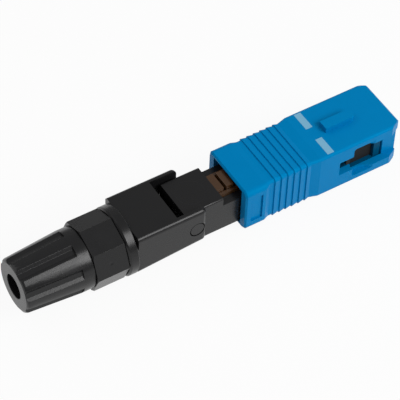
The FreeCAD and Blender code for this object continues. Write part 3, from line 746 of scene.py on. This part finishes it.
def add_room(sizes):
    """World that is dim at the horizon and brighter overhead."""
    world = bpy.data.worlds.new("Room")
    bpy.context.scene.world = world
    world.use_nodes = True
    tree = world.node_tree
    shine = tree.nodes["Background"]
    place = tree.nodes.new("ShaderNodeTexCoord")
    split = tree.nodes.new("ShaderNodeSeparateXYZ")
    fade = tree.nodes.new("ShaderNodeMapRange")
    fade.interpolation_type = "SMOOTHSTEP"
    fade.inputs["From Min"].default_value = FADE_FROM
    fade.inputs["From Max"].default_value = FADE_TO
    fade.inputs["To Min"].default_value = sizes.horizon
    fade.inputs["To Max"].default_value = sizes.sky
    tree.links.new(place.outputs["Generated"], split.inputs["Vector"])
    tree.links.new(split.outputs["Z"], fade.inputs["Value"])
    tree.links.new(fade.outputs["Result"], shine.inputs["Strength"])
    shine.inputs["Color"].default_value = (1, 1, 1, 1)


def floor_material(sizes):
    """Pale matt floor that shows white to the camera and in gloss, and keeps the shadow."""
    material = bpy.data.materials.new("Floor")
    material.use_nodes = True
    tree = material.node_tree
    shader = tree.nodes["Principled BSDF"]
    shader.inputs["Roughness"].default_value = 1.0
    shader.inputs["Specular IOR Level"].default_value = 0.0
    tone = tree.nodes.new("ShaderNodeMix")
    tone.data_type = "RGBA"
    tone.inputs["A"].default_value = (*sizes.floor, 1)
    tone.inputs["B"].default_value = (*(FLOOR_DARKER * c for c in sizes.floor), 1)
    tree.links.new(noise_of(tree, FLOOR_SCALE, detail=3.0), tone.inputs["Factor"])
    tree.links.new(tone.outputs["Result"], shader.inputs["Base Color"])
    glow = tree.nodes.new("ShaderNodeEmission")
    glow.inputs["Color"].default_value = (1, 1, 1, 1)
    ray = tree.nodes.new("ShaderNodeLightPath")
    seen = calc(tree, "MAXIMUM", ray.outputs["Is Camera Ray"], ray.outputs["Is Glossy Ray"])
    seen = calc(tree, "MAXIMUM", seen, ray.outputs["Is Transmission Ray"])
    mix = tree.nodes.new("ShaderNodeMixShader")
    tree.links.new(calc(tree, "MULTIPLY", seen, sizes.floor_glow), mix.inputs["Fac"])
    tree.links.new(shader.outputs["BSDF"], mix.inputs[1])
    tree.links.new(glow.outputs["Emission"], mix.inputs[2])
    tree.links.new(mix.outputs["Shader"], tree.nodes["Material Output"].inputs["Surface"])
    return material


def add_floor(sizes):
    """Floor that touches the sleeve's front edge and the rear body's ring, as on a table."""
    sleeve_low, sleeve_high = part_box("coupling_sleeve")
    rear_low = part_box("rear_body")[0]
    slope = math.atan2(sleeve_low.z - rear_low.z, sleeve_high.x - RING_X)
    plane = bmesh.new()
    bmesh.ops.create_grid(plane, x_segments=4, y_segments=4, size=sizes.floor_size / 2)
    bmesh.ops.rotate(plane, cent=(0, 0, 0), matrix=Matrix.Rotation(-slope, 3, "Y"),
                     verts=plane.verts)
    bmesh.ops.translate(plane, vec=(RING_X, 0, rear_low.z - FLOOR_GAP), verts=plane.verts)
    mesh = bpy.data.meshes.new("floor")
    plane.to_mesh(mesh)
    plane.free()
    floor = bpy.data.objects.new("floor", mesh)
    floor.data.materials.append(floor_material(sizes))
    bpy.context.collection.objects.link(floor)


class CONNECTOR_OT_studio(bpy.types.Operator):
    """Set up the floor, the soft lamps, the room and the camera"""
    bl_idname = "connector.studio"
    bl_label = "Studio"

    def execute(self, context):
        sizes = context.scene.connector_studio
        context.scene.view_settings.view_transform = "Standard"
        add_floor(sizes)
        add_room(sizes)
        add_lamp("Side lamp", sizes, sizes.side_power, **SIDE_LAMP)
        add_lamp("Far lamp", sizes, sizes.far_power, **FAR_LAMP)
        add_camera(sizes)
        return {"FINISHED"}


# ---- panel and registration ----
OPERATORS = (
    CONNECTOR_OT_blue_mouldings,
    CONNECTOR_OT_black_mouldings,
    CONNECTOR_OT_nut_and_collet,
    CONNECTOR_OT_splice,
    CONNECTOR_OT_ferrule_set,
    CONNECTOR_OT_float_spring,
    CONNECTOR_OT_index_marks,
    CONNECTOR_OT_stub_thread,
    CONNECTOR_OT_studio,
)
SETTINGS = {
    "connector_moulding": MouldingSettings,
    "connector_metal": MetalSettings,
    "connector_marks": MarkSettings,
    "connector_thread": ThreadSettings,
    "connector_spring": SpringSettings,
    "connector_studio": StudioSettings,
}


class CONNECTOR_PT_finishes(bpy.types.Panel):
    """Finishes and studio of the connector"""
    bl_label = "Connector"
    bl_idname = "CONNECTOR_PT_finishes"
    bl_space_type = "VIEW_3D"
    bl_region_type = "UI"
    bl_category = "Connector"

    def draw(self, context):
        for operator in OPERATORS:
            self.layout.operator(operator.bl_idname)
        for label, settings in SETTINGS.items():
            box = self.layout.box()
            values = getattr(context.scene, label)
            for field in settings.__annotations__:
                box.prop(values, field)


def register():
    for item in (*SETTINGS.values(), *OPERATORS, CONNECTOR_PT_finishes):
        bpy.utils.register_class(item)
    for label, settings in SETTINGS.items():
        setattr(bpy.types.Scene, label, bpy.props.PointerProperty(type=settings))


def unregister():
    for label in SETTINGS:
        delattr(bpy.types.Scene, label)
    for item in (CONNECTOR_PT_finishes, *reversed(OPERATORS), *SETTINGS.values()):
        bpy.utils.unregister_class(item)


def main():
    register()
    bpy.ops.connector.blue_mouldings()
    bpy.ops.connector.black_mouldings()
    bpy.ops.connector.nut_and_collet()
    bpy.ops.connector.splice()
    bpy.ops.connector.ferrule_set()
    bpy.ops.connector.float_spring()
    bpy.ops.connector.index_marks()
    bpy.ops.connector.stub_thread()
    bpy.ops.connector.studio()


if __name__ == "__main__":
    main()
